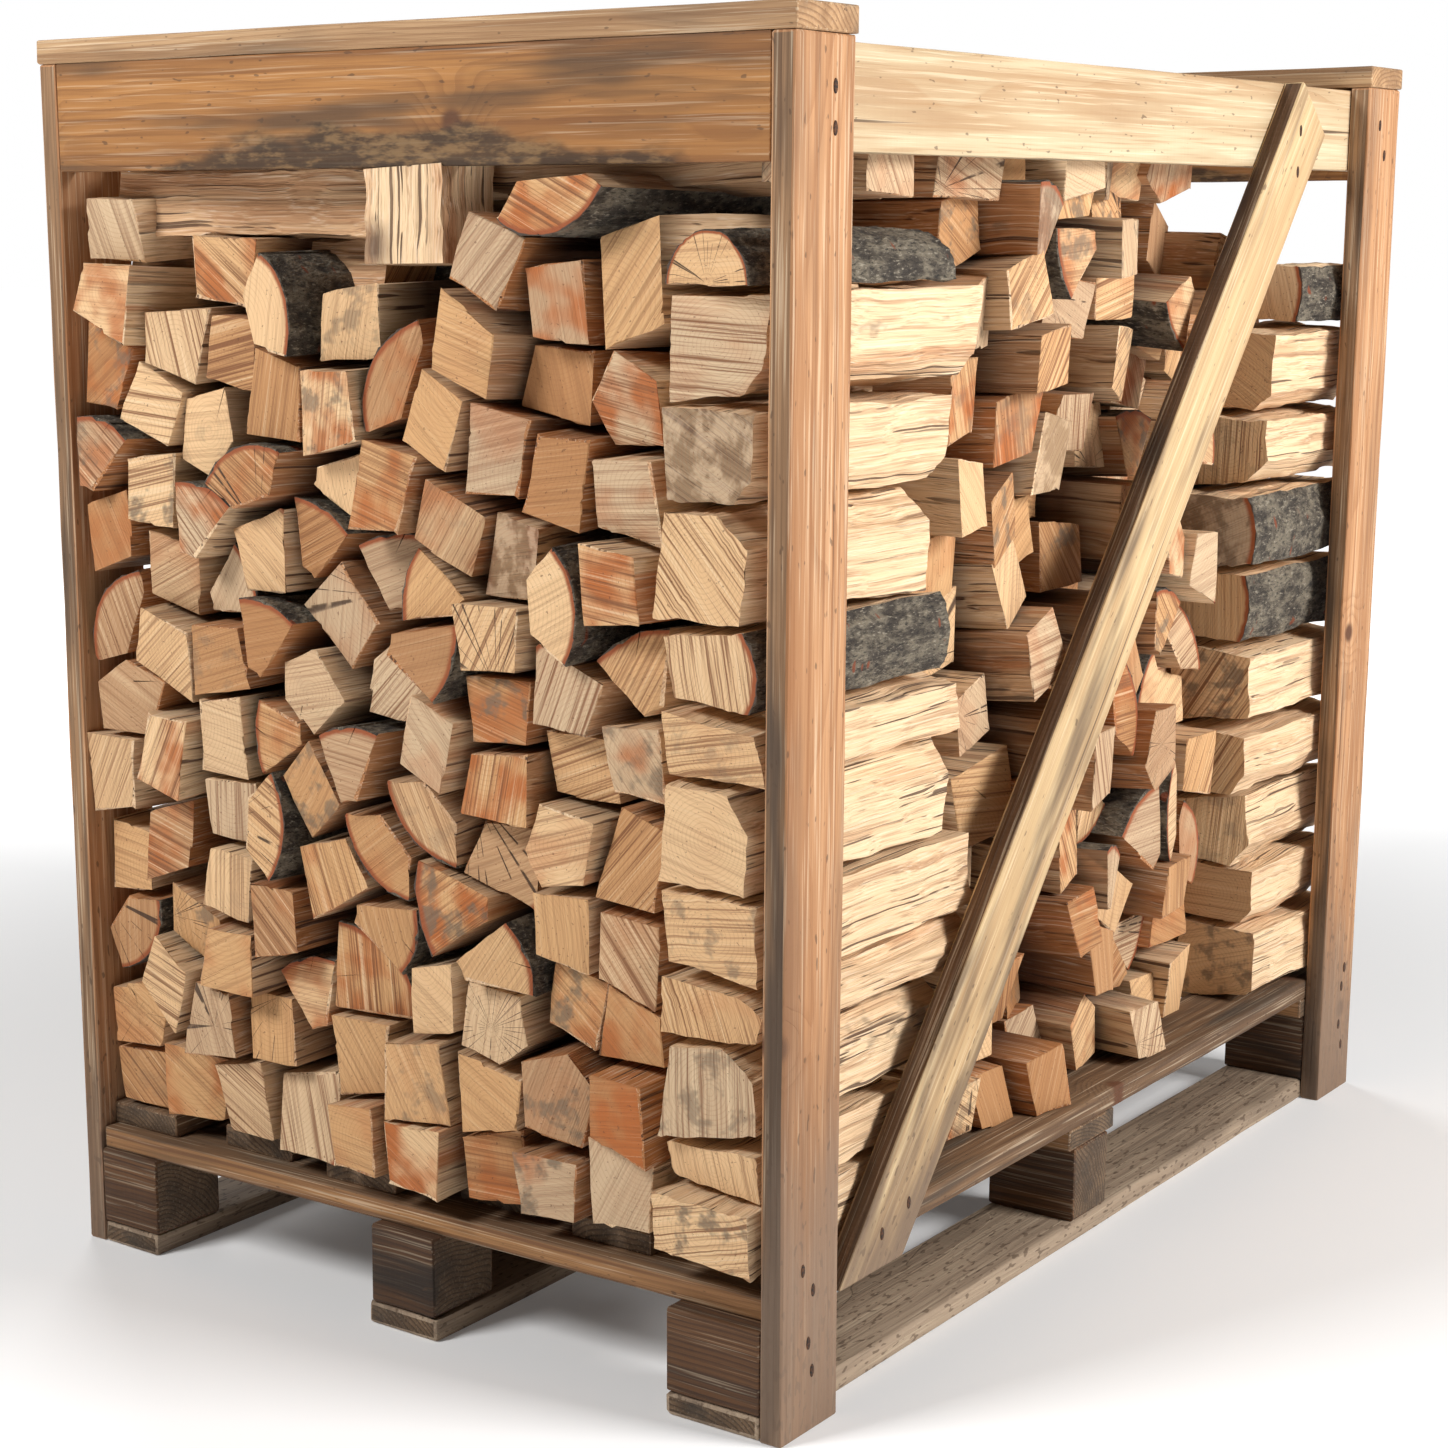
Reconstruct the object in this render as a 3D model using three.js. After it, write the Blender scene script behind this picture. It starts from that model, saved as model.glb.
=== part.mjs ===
// A crate of split firewood on a block pallet. Millimetres, +Z up.
// The crate stands on the floor at z = 0 and is centred on x = 0 and y = 0.
// The front is -Y and the long sides are -X and +X.
import * as THREE from 'three';

// Driving dimensions of the crate.
const PALLET_WIDTH = 800;
const CRATE_DEPTH = 1240;
const BOARD = 22;
const POST_WIDTH = 88;
const POST_HEIGHT = 1160;
const CAP_WIDTH = 90;
const CAP_OVERHANG = 2;
const END_RAIL_HEIGHT = 98;
const SIDE_RAIL_HEIGHT = 86;
const SIDE_RAIL_DROP = 3;
const GAP = 0.3;

// Driving dimensions of the pallet.
const BLOCK_HEIGHT = 78;
const BLOCK_DEPTH = 88;
const MIDDLE_BLOCK_DEPTH = 74;
const MIDDLE_BLOCK_SHIFT = -11;
const CROSS_BOARD_WIDTH = 98;
const CROSS_BOARD_SETBACK = 3;
const DECK_BOARD_WIDTH = 88;
const DECK_BOARD_COUNT = 6;
const DECK_BOARD_SETBACK = 20;

// Driving dimensions of the firewood.
const STACK_SIDE_CLEARANCE = 4;
const END_TIP_OUTREACH = 18;
const ROW_LENGTH = 320;
const MIDDLE_LOG_LENGTH = 350;
const LONG_LOG_ROOM = 64;
const CORNER_COLUMN_WIDTH = 104;
const STACK_TOP = 1060;
const BACK_ROW_TOP = 1022;
const TOP_COURSE_TOP = 1112;

const halfWidth = PALLET_WIDTH / 2;
const halfDepth = CRATE_DEPTH / 2;
const blockTop = BOARD + BLOCK_HEIGHT;
const crossTop = blockTop + BOARD;
const deckTop = crossTop + BOARD;

const skidPlan = [
  { name: 'left', low: -halfWidth + GAP, high: -halfWidth + 76, blockInset: 0 },
  { name: 'middle', low: -42, high: 42, blockInset: 4 },
  { name: 'right', low: halfWidth - 98, high: halfWidth - GAP, blockInset: 0 },
];

const crate = new THREE.Group();

function timber(colour, roughness) {
  return new THREE.MeshStandardMaterial({ color: colour, roughness, metalness: 0 });
}

// Adds a named mesh at a place in the crate.
function place(name, geometry, material, x = 0, y = 0, z = 0) {
  const mesh = new THREE.Mesh(geometry, material);
  mesh.name = name;
  mesh.position.set(x, y, z);
  crate.add(mesh);
  return mesh;
}

// A squared piece between two corners.
function block(name, low, high, material) {
  const size = high.map((value, axis) => value - low[axis]);
  const middle = high.map((value, axis) => (value + low[axis]) / 2);
  return place(name, new THREE.BoxGeometry(...size), material, ...middle);
}

// Extrudes an outline of [y, z] points along +X, from x = 0 to the given thickness.
function sideways(points, thickness) {
  const outline = new THREE.Shape(points.map(([y, z]) => new THREE.Vector2(y, z)));
  const geometry = new THREE.ExtrudeGeometry(outline, { depth: thickness, bevelEnabled: false });
  geometry.rotateY(Math.PI / 2);
  geometry.rotateX(Math.PI / 2);
  return geometry;
}

// Extrudes an outline of [x, z] points along +Y, from y = 0 to the given length.
function lengthways(points, length) {
  const outline = new THREE.Shape(points.map(([x, z]) => new THREE.Vector2(x, z)));
  const geometry = new THREE.ExtrudeGeometry(outline, { depth: length, bevelEnabled: false });
  geometry.rotateX(Math.PI / 2);
  geometry.translate(0, length, 0);
  return geometry;
}

// Three bottom boards run front to back and touch the floor.
function addSkids(material) {
  for (const { name, low, high } of skidPlan) {
    block(`skid_${name}`, [low, -halfDepth, 0], [high, halfDepth, BOARD - GAP], material);
  }
}

// Nine blocks lift the deck off the bottom boards.
function addBlocks(material) {
  const middleFront = MIDDLE_BLOCK_SHIFT - MIDDLE_BLOCK_DEPTH / 2;
  const rows = [
    { name: 'front', front: -halfDepth, depth: BLOCK_DEPTH },
    { name: 'middle', front: middleFront, depth: MIDDLE_BLOCK_DEPTH },
    { name: 'back', front: halfDepth - BLOCK_DEPTH, depth: BLOCK_DEPTH },
  ];
  for (const row of rows) {
    for (const { name, low, high, blockInset } of skidPlan) {
      const from = [low + blockInset, row.front, BOARD];
      const to = [high - blockInset, row.front + row.depth, blockTop - GAP];
      block(`block_${row.name}_${name}`, from, to, material);
    }
  }
}

// Three boards run across the blocks, and the deck boards lie on them.
function addCrossBoards(material) {
  const edge = halfDepth - CROSS_BOARD_SETBACK;
  const fronts = {
    front: -edge,
    middle: MIDDLE_BLOCK_SHIFT - CROSS_BOARD_WIDTH / 2,
    back: edge - CROSS_BOARD_WIDTH,
  };
  for (const [name, front] of Object.entries(fronts)) {
    const low = [-halfWidth + GAP, front, blockTop];
    const high = [halfWidth - GAP, front + CROSS_BOARD_WIDTH, crossTop - GAP];
    block(`cross_board_${name}`, low, high, material);
  }
}

function addDeck(material) {
  const reach = halfDepth - DECK_BOARD_SETBACK;
  const span = PALLET_WIDTH - 2 * GAP - DECK_BOARD_WIDTH;
  for (let index = 0; index < DECK_BOARD_COUNT; index += 1) {
    const left = -halfWidth + GAP + (span * index) / (DECK_BOARD_COUNT - 1);
    const low = [left, -reach, crossTop];
    const high = [left + DECK_BOARD_WIDTH, reach, deckTop - GAP];
    block(`deck_board_${index + 1}`, low, high, material);
  }
}

// Four posts stand on the floor against the pallet's sides.
function addPosts(material) {
  for (const [sideName, side] of [['left', -1], ['right', 1]]) {
    for (const [endName, end] of [['front', -1], ['back', 1]]) {
      const x = side * (halfWidth + BOARD / 2);
      const y = end * (halfDepth - POST_WIDTH / 2);
      const shape = new THREE.BoxGeometry(BOARD, POST_WIDTH, POST_HEIGHT);
      place(`post_${endName}_${sideName}`, shape, material, x, y, POST_HEIGHT / 2);
    }
  }
}

// A rail closes each end between the posts, and a cap board lies across the posts above it.
function addEnds(railMaterial, capMaterial) {
  for (const [name, end] of [['front', -1], ['back', 1]]) {
    const railY = end * (halfDepth - BOARD / 2);
    const railZ = POST_HEIGHT - END_RAIL_HEIGHT / 2;
    const rail = new THREE.BoxGeometry(PALLET_WIDTH - 2 * GAP, BOARD, END_RAIL_HEIGHT);
    place(`rail_${name}`, rail, railMaterial, 0, railY, railZ);
    const capLength = PALLET_WIDTH + 2 * (BOARD + CAP_OVERHANG);
    const cap = new THREE.BoxGeometry(capLength, CAP_WIDTH, BOARD);
    const capY = end * (halfDepth + 1 - CAP_WIDTH / 2);
    place(`cap_${name}`, cap, capMaterial, 0, capY, POST_HEIGHT + GAP + BOARD / 2);
  }
}

// A rail is nailed inside the posts along each long side.
function addSideRails(material) {
  const reach = halfDepth - BOARD - GAP;
  const top = POST_HEIGHT - SIDE_RAIL_DROP;
  for (const [name, side] of [['left', -1], ['right', 1]]) {
    const centre = side * (halfWidth - GAP - BOARD / 2);
    const low = [centre - BOARD / 2, -reach, top - SIDE_RAIL_HEIGHT];
    const high = [centre + BOARD / 2, reach, top];
    block(`rail_${name}`, low, high, material);
  }
}

// A slanting board on each long side, from the deck's edge near the front up over the side rail.
// Both ends of the board are cut: level at the foot and square at the head.
function addBraces(material) {
  const foot = { y: -529, z: 112 };
  const head = { y: 352, z: POST_HEIGHT - 1 };
  const width = 82;
  const run = Math.hypot(head.y - foot.y, head.z - foot.z);
  const along = { y: (head.y - foot.y) / run, z: (head.z - foot.z) / run };
  const footWidth = width / along.z;
  const outline = [
    [foot.y, foot.z],
    [foot.y + footWidth, foot.z],
    [head.y + width * along.z, head.z - width * along.y],
    [head.y, head.z],
  ];
  const thickness = BOARD - 2 * GAP;
  place('brace_right', sideways(outline, thickness), material, halfWidth + GAP);
  place('brace_left', sideways(outline, thickness), material, -halfWidth - GAP - thickness);
}

// The four closely packed stacks and the loose course on top of them.
// Each solid reaches the tips of the logs in it.
function addStacks(material) {
  const sideX = halfWidth - STACK_SIDE_CLEARANCE;
  const columnX = sideX - CORNER_COLUMN_WIDTH;
  const tipY = halfDepth + END_TIP_OUTREACH;
  const rowY = tipY - ROW_LENGTH;
  const middleFront = -rowY + LONG_LOG_ROOM;
  const railClearX = halfWidth - BOARD - 2;
  const railClearY = halfDepth - BOARD - 2;
  const stacks = [
    ['front_row_logs', [-sideX, -tipY, deckTop], [columnX - GAP, -rowY, STACK_TOP]],
    ['back_row_logs', [-sideX, rowY, deckTop], [columnX - GAP, tipY, BACK_ROW_TOP]],
    ['middle_right_logs', [sideX - MIDDLE_LOG_LENGTH, middleFront, deckTop],
      [sideX, rowY - GAP, STACK_TOP]],
    ['middle_left_logs', [-sideX, -rowY + GAP, deckTop],
      [-sideX + MIDDLE_LOG_LENGTH, rowY - GAP, STACK_TOP]],
    ['top_course_logs', [-railClearX, -railClearY, STACK_TOP + GAP],
      [railClearX, rowY - GAP, TOP_COURSE_TOP]],
  ];
  for (const [name, low, high] of stacks) {
    block(name, low, high, material);
  }
}

// One log of a corner column. The outline is a split quarter: three flat sides and a
// bark side that is cut off at its corners.
function splitLog(width, height, barkCut) {
  const cut = Math.min(barkCut, height / 2 - 2);
  return [
    [0, 0],
    [width - cut, 0],
    [width, cut],
    [width, height - cut],
    [width - cut, height],
    [0, height],
  ];
}

// A half-round slab that lies on its flat side.
function halfRound(width, height) {
  const steps = 8;
  const points = [];
  for (let step = 0; step <= steps; step += 1) {
    const angle = (Math.PI * step) / steps;
    points.push([(width / 2) * (1 + Math.cos(angle)), height * Math.sin(angle)]);
  }
  return points;
}

// The logs that stand in a column at a corner, from the bottom up: the height of each,
// how far its outer end lies inside the row's tips, and how far it reaches inwards.
const frontColumn = [
  { height: 62, inset: 10, length: 268 },
  { height: 46, inset: 24, length: 262 },
  { height: 88, inset: 16, length: 330 },
  { height: 55, inset: 22, length: 358 },
  { height: 76, inset: 20, length: 360 },
  { height: 92, inset: 14, length: 330 },
  { height: 60, inset: 18, length: 340 },
  { height: 72, inset: 16, length: 318 },
  { height: 96, inset: 12, length: 304 },
  { height: 82, inset: 18, length: 312 },
  { height: 90, inset: 22, length: 352 },
  { height: 50, inset: 8, length: 330, halfRound: true },
];
const backColumn = [
  { height: 90, inset: 12, length: 232 },
  { height: 72, inset: 16, length: 236 },
  { height: 84, inset: 10, length: 258 },
  { height: 78, inset: 18, length: 280 },
  { height: 92, inset: 14, length: 272 },
  { height: 80, inset: 20, length: 262 },
  { height: 88, inset: 10, length: 288 },
  { height: 86, inset: 18, length: 250 },
  { height: 92, inset: 12, length: 236 },
  { height: 66, inset: 16, length: 170 },
];

function addColumn(prefix, logs, end, material) {
  const left = halfWidth - STACK_SIDE_CLEARANCE - CORNER_COLUMN_WIDTH;
  const tip = halfDepth + END_TIP_OUTREACH;
  let z = deckTop;
  logs.forEach((log, index) => {
    const width = CORNER_COLUMN_WIDTH - (index % 3) * 4;
    const height = log.height - GAP;
    const outline = log.halfRound ? halfRound(width, height) : splitLog(width, height, 8);
    const y = end < 0 ? -tip + log.inset : tip - log.inset - log.length;
    const name = `${prefix}_${String(index + 1).padStart(2, '0')}`;
    place(name, lengthways(outline, log.length), material, left, y, z);
    z += log.height;
  });
}

addSkids(timber('#6f6253', 0.9));
addBlocks(timber('#6b5138', 0.9));
addCrossBoards(timber('#8a6a47', 0.85));
addDeck(timber('#7d6548', 0.85));
addPosts(timber('#b07f4c', 0.8));
addEnds(timber('#a9763f', 0.8), timber('#b98a58', 0.8));
addSideRails(timber('#e3c391', 0.75));
addBraces(timber('#d9b781', 0.8));
addStacks(timber('#c99a62', 0.85));
addColumn('front_corner_log', frontColumn, -1, timber('#dcb684', 0.85));
addColumn('back_corner_log', backColumn, 1, timber('#d8ae78', 0.85));

export default crate;
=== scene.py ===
# %% [markdown]
# # A crate of split firewood
# The crate is a block pallet with four posts, two end rails, two side rails, two cap boards and two
# slanting braces. Split logs fill it: rows with their ends to the front and back, and between them
# logs that lie across the crate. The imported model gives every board's place, so nothing is measured
# again here.

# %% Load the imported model
import math
import random

import bpy
import numpy as np
from mathutils import Matrix, Vector, noise
from numpy.lib.stride_tricks import sliding_window_view


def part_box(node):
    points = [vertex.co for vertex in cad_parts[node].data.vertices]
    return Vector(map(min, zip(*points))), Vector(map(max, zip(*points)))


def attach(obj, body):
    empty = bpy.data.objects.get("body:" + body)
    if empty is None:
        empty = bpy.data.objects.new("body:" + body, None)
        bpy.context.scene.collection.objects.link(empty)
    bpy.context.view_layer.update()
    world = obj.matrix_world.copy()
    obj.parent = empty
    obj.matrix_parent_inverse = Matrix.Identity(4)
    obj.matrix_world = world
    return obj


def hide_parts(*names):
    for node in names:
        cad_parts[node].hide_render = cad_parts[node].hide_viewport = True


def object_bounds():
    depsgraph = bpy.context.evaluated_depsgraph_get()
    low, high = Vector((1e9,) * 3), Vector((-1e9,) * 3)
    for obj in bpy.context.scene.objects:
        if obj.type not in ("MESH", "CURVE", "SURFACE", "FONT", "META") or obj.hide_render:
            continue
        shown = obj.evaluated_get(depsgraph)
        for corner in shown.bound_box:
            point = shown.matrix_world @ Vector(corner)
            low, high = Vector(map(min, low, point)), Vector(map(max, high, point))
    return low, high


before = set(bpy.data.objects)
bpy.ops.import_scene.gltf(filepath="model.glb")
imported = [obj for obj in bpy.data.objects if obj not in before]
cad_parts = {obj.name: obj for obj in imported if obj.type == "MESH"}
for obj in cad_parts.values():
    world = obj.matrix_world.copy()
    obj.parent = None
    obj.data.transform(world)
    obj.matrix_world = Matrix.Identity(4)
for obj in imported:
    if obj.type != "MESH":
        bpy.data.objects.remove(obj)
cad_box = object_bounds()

crate_low, crate_high = cad_box
print("crate size in metres:", [round(h - l, 3) for l, h in zip(crate_low, crate_high)])

# %% [markdown]
# ## The camera
# The crate is seen from its front right corner, from a little over two metres away and one metre
# above the floor. A lens of medium length keeps the posts close to upright. The camera comes
# first, because everything that faces it deserves the most care.

# %% Camera
EYE = Vector((1.5908, -2.4167, 1.0170))
VIEW_TURN, VIEW_TILT = 36.0, 11.8
camera_data = bpy.data.cameras.new("crate_camera")
camera_data.lens = 67.73
camera_data.shift_x = 0.0511
camera_data.shift_y = 0.0456
camera = bpy.data.objects.new("crate_camera", camera_data)
camera.location = EYE
camera.rotation_euler = (math.radians(90 - VIEW_TILT), 0, math.radians(VIEW_TURN))
bpy.context.scene.collection.objects.link(camera)
bpy.context.scene.camera = camera
print("camera looks", VIEW_TILT, "degrees down")

# %% [markdown]
# ## A small kit for finishes
# Every finish here is a node material. A node is added, its settings are given, and its inputs take
# either a plain value or another node's output. A short class keeps that to one line for each node,
# so a finish reads like a recipe: a first colour, then coat over coat of grain, stain and dirt.

# %% The finish kit
class Finish:
    """A node material that is built one node at a time."""

    def __init__(self, name):
        self.material = bpy.data.materials.new(name)
        self.material.use_nodes = True
        self.tree = self.material.node_tree
        self.shader = self.tree.nodes["Principled BSDF"]
        self.colour = None

    def feed(self, socket, value):
        if isinstance(value, bpy.types.NodeSocket):
            self.tree.links.new(value, socket)
        else:
            socket.default_value = value

    def node(self, kind, settings=None, **inputs):
        made = self.tree.nodes.new(kind)
        for key, value in (settings or {}).items():
            setattr(made, key, value)
        for key, value in inputs.items():
            self.feed(made.inputs[key.replace("_", " ")], value)
        return made

    def attribute(self, name):
        return self.node("ShaderNodeAttribute", {"attribute_name": name}).outputs

    def math(self, operation, *values):
        made = self.node("ShaderNodeMath", {"operation": operation})
        for socket, value in zip(made.inputs, values):
            self.feed(socket, value)
        return made.outputs[0]

    def times(self, *values):
        return self.math("MULTIPLY", *values)

    def plus(self, *values):
        return self.math("ADD", *values)

    def minus(self, *values):
        return self.math("SUBTRACT", *values)

    def another(self, chance, factor):
        """Another chance number, made from the digits further down in this one."""
        return self.math("FRACT", self.times(chance, factor))

    def vector(self, operation, *values):
        made = self.node("ShaderNodeVectorMath", {"operation": operation})
        for socket, value in zip(made.inputs, values):
            self.feed(socket, value)
        return made.outputs["Value" if operation == "LENGTH" else "Vector"]

    def parts(self, vector):
        return self.node("ShaderNodeSeparateXYZ", Vector=vector).outputs

    def join(self, x, y, z):
        return self.node("ShaderNodeCombineXYZ", X=x, Y=y, Z=z).outputs[0]

    def grain(self, vector, stretch, detail=3.0, roughness=0.55, distortion=0.0):
        """Noise in 1/stretch metre blotches. Two numbers stretch it across and along the grain."""
        if isinstance(stretch, float):
            stretch = (stretch, stretch)
        if len(stretch) == 2:
            stretch = (*stretch, stretch[0])
        scaled = self.vector("MULTIPLY", vector, stretch)
        made = self.node("ShaderNodeTexNoise", Vector=scaled, Scale=1.0, Detail=detail,
                         Roughness=roughness, Distortion=distortion)
        return made.outputs["Fac"]

    def fade(self, value, low, high, out_low=0.0, out_high=1.0):
        made = self.node("ShaderNodeMapRange", {"interpolation_type": "SMOOTHSTEP"})
        for socket, item in zip(made.inputs, (value, low, high, out_low, out_high)):
            self.feed(socket, item)
        return made.outputs[0]

    def mix(self, factor, first, second, mode="MIX"):
        made = self.node("ShaderNodeMix", {"data_type": "RGBA", "blend_type": mode})
        for index, item in ((0, factor), (6, first), (7, second)):
            self.feed(made.inputs[index], tint(*item) if isinstance(item, tuple) else item)
        return made.outputs[2]

    def coat(self, factor, paint):
        """Lays a colour over the ones that are there. The factor says how much of it covers."""
        self.colour = self.mix(factor, self.colour, paint)

    def coat_where(self, value, low, high, paint, most=1.0):
        """Lays a colour on where a value passes from low to high."""
        self.coat(self.fade(value, low, high, 0.0, most), paint)

    def finish(self, roughness, height=None, depth=0.001):
        self.feed(self.shader.inputs["Base Color"], self.colour)
        self.feed(self.shader.inputs["Roughness"], roughness)
        if height is not None:
            bump = self.node("ShaderNodeBump", Height=height, Strength=1.0, Distance=depth)
            self.feed(self.shader.inputs["Normal"], bump.outputs[0])
        return self.material


def tint(red, green, blue):
    """A colour as a screen shows it, from 0 to 255, turned into the renderer's own scale."""
    scale = [((c / 255 + 0.055) / 1.055) ** 2.4 if c > 10 else c / 3295 for c in (red, green, blue)]
    return (*scale, 1.0)


print("finish kit ready")

# %% [markdown]
# ## Split firewood finishes
# A split log shows three surfaces. The sawn end carries parallel marks from the chain and, at its rim,
# the thin red-brown line of inner bark. The split sides are torn along the fibres. The rest is bark.
# Each log carries its own coordinates, with Y along its length and the tree's centre at X = Z = 0, and
# four chance numbers, so one material makes every log different. Another number says how deep in the
# stack a side lies, and the sides are painted darker with it: painted shade for the gaps between logs.

# %% Sawn ends
def log_base(made):
    """The log's own place, its chance numbers and a place that no other log shares."""
    own = made.attribute("own")["Vector"]
    chance = made.attribute("chance")
    red, green, blue = made.node("ShaderNodeSeparateColor", Color=chance["Color"]).outputs[:3]
    shift = made.join(made.times(red, 31.0), made.times(green, 17.0), made.times(blue, 23.0))
    apart = made.vector("ADD", own, shift)
    return own, apart, red, green, blue, chance["Alpha"]


def sawn_end_finish():
    made = Finish("sawn_log_end")
    own, apart, tone, stain, grey, turn = log_base(made)
    angle = made.times(turn, math.tau)
    turned = made.node("ShaderNodeVectorRotate", {"rotation_type": "Y_AXIS"},
                       Vector=own, Angle=angle).outputs[0]
    sawn = made.vector("ADD", turned, made.vector("SUBTRACT", apart, own))
    bands = made.grain(sawn, (240.0, 1.0, 4.0), 2.0, 0.5)
    lines = made.grain(sawn, (680.0, 1.0, 8.0), 1.0, 0.6)
    marks = made.plus(made.times(bands, 0.55), made.times(lines, 0.45))
    strength = made.fade(made.another(tone, 7.3), 0.1, 0.95, 0.3, 1.0)
    made.colour = made.mix(made.fade(tone, 0.05, 0.5), (172, 122, 76), (202, 156, 106))
    made.coat_where(tone, 0.5, 0.95, (222, 184, 138))
    made.coat_where(grey, 0.58, 0.92, (192, 168, 138), 0.75)
    blotch = made.grain(apart, (20.0, 9.0), 2.0)
    orange = made.times(made.fade(blotch, 0.40, 0.66), made.fade(stain, 0.45, 0.95, 0.05, 0.95))
    made.coat(orange, (172, 92, 34))
    dark_marks = made.times(made.fade(marks, 0.53, 0.37), strength)
    made.coat(made.times(dark_marks, 0.9), (118, 72, 40))
    light_marks = made.times(made.fade(marks, 0.54, 0.68), strength)
    made.coat(made.times(light_marks, 0.45), (238, 212, 174))
    mould = made.grain(apart, 34.0, 3.0, 0.65)
    mouldy = made.fade(made.another(stain, 5.1), 0.70, 0.95, 0.0, 0.8)
    made.coat(made.times(made.fade(mould, 0.50, 0.64), mouldy), (110, 94, 76))
    weathered = made.fade(made.another(grey, 9.7), 0.965, 0.975, 0.0, 0.7)
    made.coat(weathered, made.mix(made.fade(mould, 0.42, 0.58), (82, 66, 52), (168, 148, 124)))
    speck = made.fade(made.grain(apart, 300.0, 1.0), 0.69, 0.76)
    made.coat(made.times(speck, 0.6), (96, 58, 32))
    x, _, z = made.parts(own)
    from_pith = made.vector("LENGTH", made.join(x, 0.0, z))
    ring = made.math("FRACT", made.math("DIVIDE", from_pith, 0.0046))
    made.coat_where(ring, 0.62, 0.98, (150, 96, 56), 0.22)
    spoke = made.times(made.math("ARCTAN2", z, x), 3.2)
    star = made.grain(made.join(spoke, 0.0, turn), (1.0, 1.0, 40.0), 0.0)
    off_line = made.math("ABSOLUTE", made.minus(star, 0.5))
    cracked = made.fade(made.another(turn, 11.3), 0.90, 0.92)
    reach = made.fade(made.grain(apart, 60.0, 1.0), 0.36, 0.48)
    crack = made.times(made.times(made.fade(off_line, 0.012, 0.004), reach), cracked)
    made.coat(made.times(crack, 0.9), (58, 36, 22))
    rim = made.math("DIVIDE", from_pith, made.attribute("bark_radius")["Fac"])
    rim = made.plus(rim, made.times(mould, 0.06))
    made.coat_where(rim, 0.935, 0.985, (146, 76, 38))
    made.coat_where(rim, 1.004, 1.016, (70, 58, 48))
    height = made.minus(marks, made.times(crack, 0.6))
    return made.finish(0.8, height, 0.0022)


sawn_end = sawn_end_finish()
print(sawn_end.name, "has", len(sawn_end.node_tree.nodes), "nodes")

# %% Split sides
def split_side_finish():
    made = Finish("split_log_side")
    _, apart, tone, stain, grey, _ = log_base(made)
    wander = made.grain(apart, (14.0, 5.0), 2.0)
    bend = made.join(made.times(wander, 0.024), 0.0, made.times(wander, 0.018))
    fibre = made.vector("ADD", apart, bend)
    strands = made.grain(fibre, (150.0, 2.4), 3.0, 0.6)
    threads = made.grain(fibre, (600.0, 7.0), 2.0, 0.6)
    ledges = made.grain(fibre, (44.0, 1.8), 2.0, 0.5)
    made.colour = made.mix(made.fade(tone, 0.05, 0.85), (174, 114, 64), (230, 197, 156))
    streak = made.times(made.fade(ledges, 0.48, 0.66), made.fade(stain, 0.3, 0.9, 0.15, 0.85))
    made.coat(streak, (180, 108, 56))
    made.coat_where(strands, 0.50, 0.34, (140, 90, 52), 0.5)
    made.coat_where(threads, 0.52, 0.70, (246, 226, 200), 0.42)
    made.coat_where(threads, 0.46, 0.34, (130, 82, 46), 0.35)
    # Dark lines where the torn fibres part: partly the wood's own dark splits and partly painted shade in
    # them.
    split = made.grain(fibre, (230.0, 1.5), 1.0)
    torn = made.times(made.fade(split, 0.375, 0.325), made.fade(ledges, 0.58, 0.46, 0.3, 1.0))
    made.coat(made.times(torn, 0.85), (72, 42, 24))
    mould = made.grain(apart, (26.0, 14.0), 3.0, 0.65)
    mouldy = made.fade(grey, 0.6, 1.0, 0.0, 0.6)
    made.coat(made.times(made.fade(mould, 0.55, 0.68), mouldy), (118, 100, 80))
    # Painted shade: the sides darken away from the log's ends, where the gaps of the stack would shade
    # them. On the upright off-cut the same number darkens the wood round its knot instead.
    deep = made.attribute("deep")["Fac"]
    made.coat(made.times(deep, 0.88), (64, 33, 16))
    height = made.plus(made.times(strands, 0.9), made.times(threads, 0.3))
    height = made.minus(height, made.times(torn, 0.5))
    return made.finish(0.82, height, 0.004)


def bark_finish():
    made = Finish("log_bark")
    _, apart, *_ = log_base(made)
    plates = made.grain(apart, (60.0, 34.0), 3.0, 0.65)
    fine = made.grain(apart, (330.0, 120.0), 3.0, 0.65)
    made.colour = made.mix(made.fade(plates, 0.38, 0.64), (56, 48, 40), (114, 104, 88))
    made.coat_where(fine, 0.56, 0.70, (158, 148, 130), 0.7)
    made.coat_where(fine, 0.46, 0.34, (28, 24, 18), 0.85)
    scar = made.fade(made.grain(apart, (30.0, 60.0), 1.0), 0.70, 0.76)
    made.coat(scar, (120, 60, 34))
    height = made.plus(plates, made.times(fine, 0.7))
    return made.finish(0.9, height, 0.005)


split_side = split_side_finish()
log_bark = bark_finish()
LOG_FINISHES = (sawn_end, split_side, log_bark)
print("log finishes:", [item.name for item in LOG_FINISHES])

# %% [markdown]
# ## Splitting a log
# A round of beech is a cylinder, and an axe or a splitter cuts it along its length. The same steps make
# the shape here: a cylinder is added, and flat cuts take its sides away, so the bark stays wherever no
# cut reached it. A few more cuts that take nothing away give the sides corners that can be moved, and a
# small random move of each corner makes the torn, not quite straight edges of real split wood. The log
# lies along Y with its near sawn end at Y = 0.

# %% Selecting and cutting
def leave_edit():
    bpy.ops.object.mode_set(mode="OBJECT")


def select_only(*pieces):
    """Selects these pieces and nothing else, in object mode. The first one is the active one."""
    if bpy.context.object and bpy.context.object.mode != "OBJECT":
        leave_edit()
    bpy.ops.object.select_all(action="DESELECT")
    for piece in pieces:
        piece.select_set(True)
    if pieces:
        bpy.context.view_layer.objects.active = pieces[0]


def new_piece():
    """The shape that was added last, with its place, turn and size written into its mesh."""
    bpy.ops.object.transform_apply(location=True, rotation=True, scale=True)
    return bpy.context.object


def edit(piece):
    select_only(piece)
    bpy.ops.object.mode_set(mode="EDIT")
    bpy.ops.mesh.select_all(action="SELECT")


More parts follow.
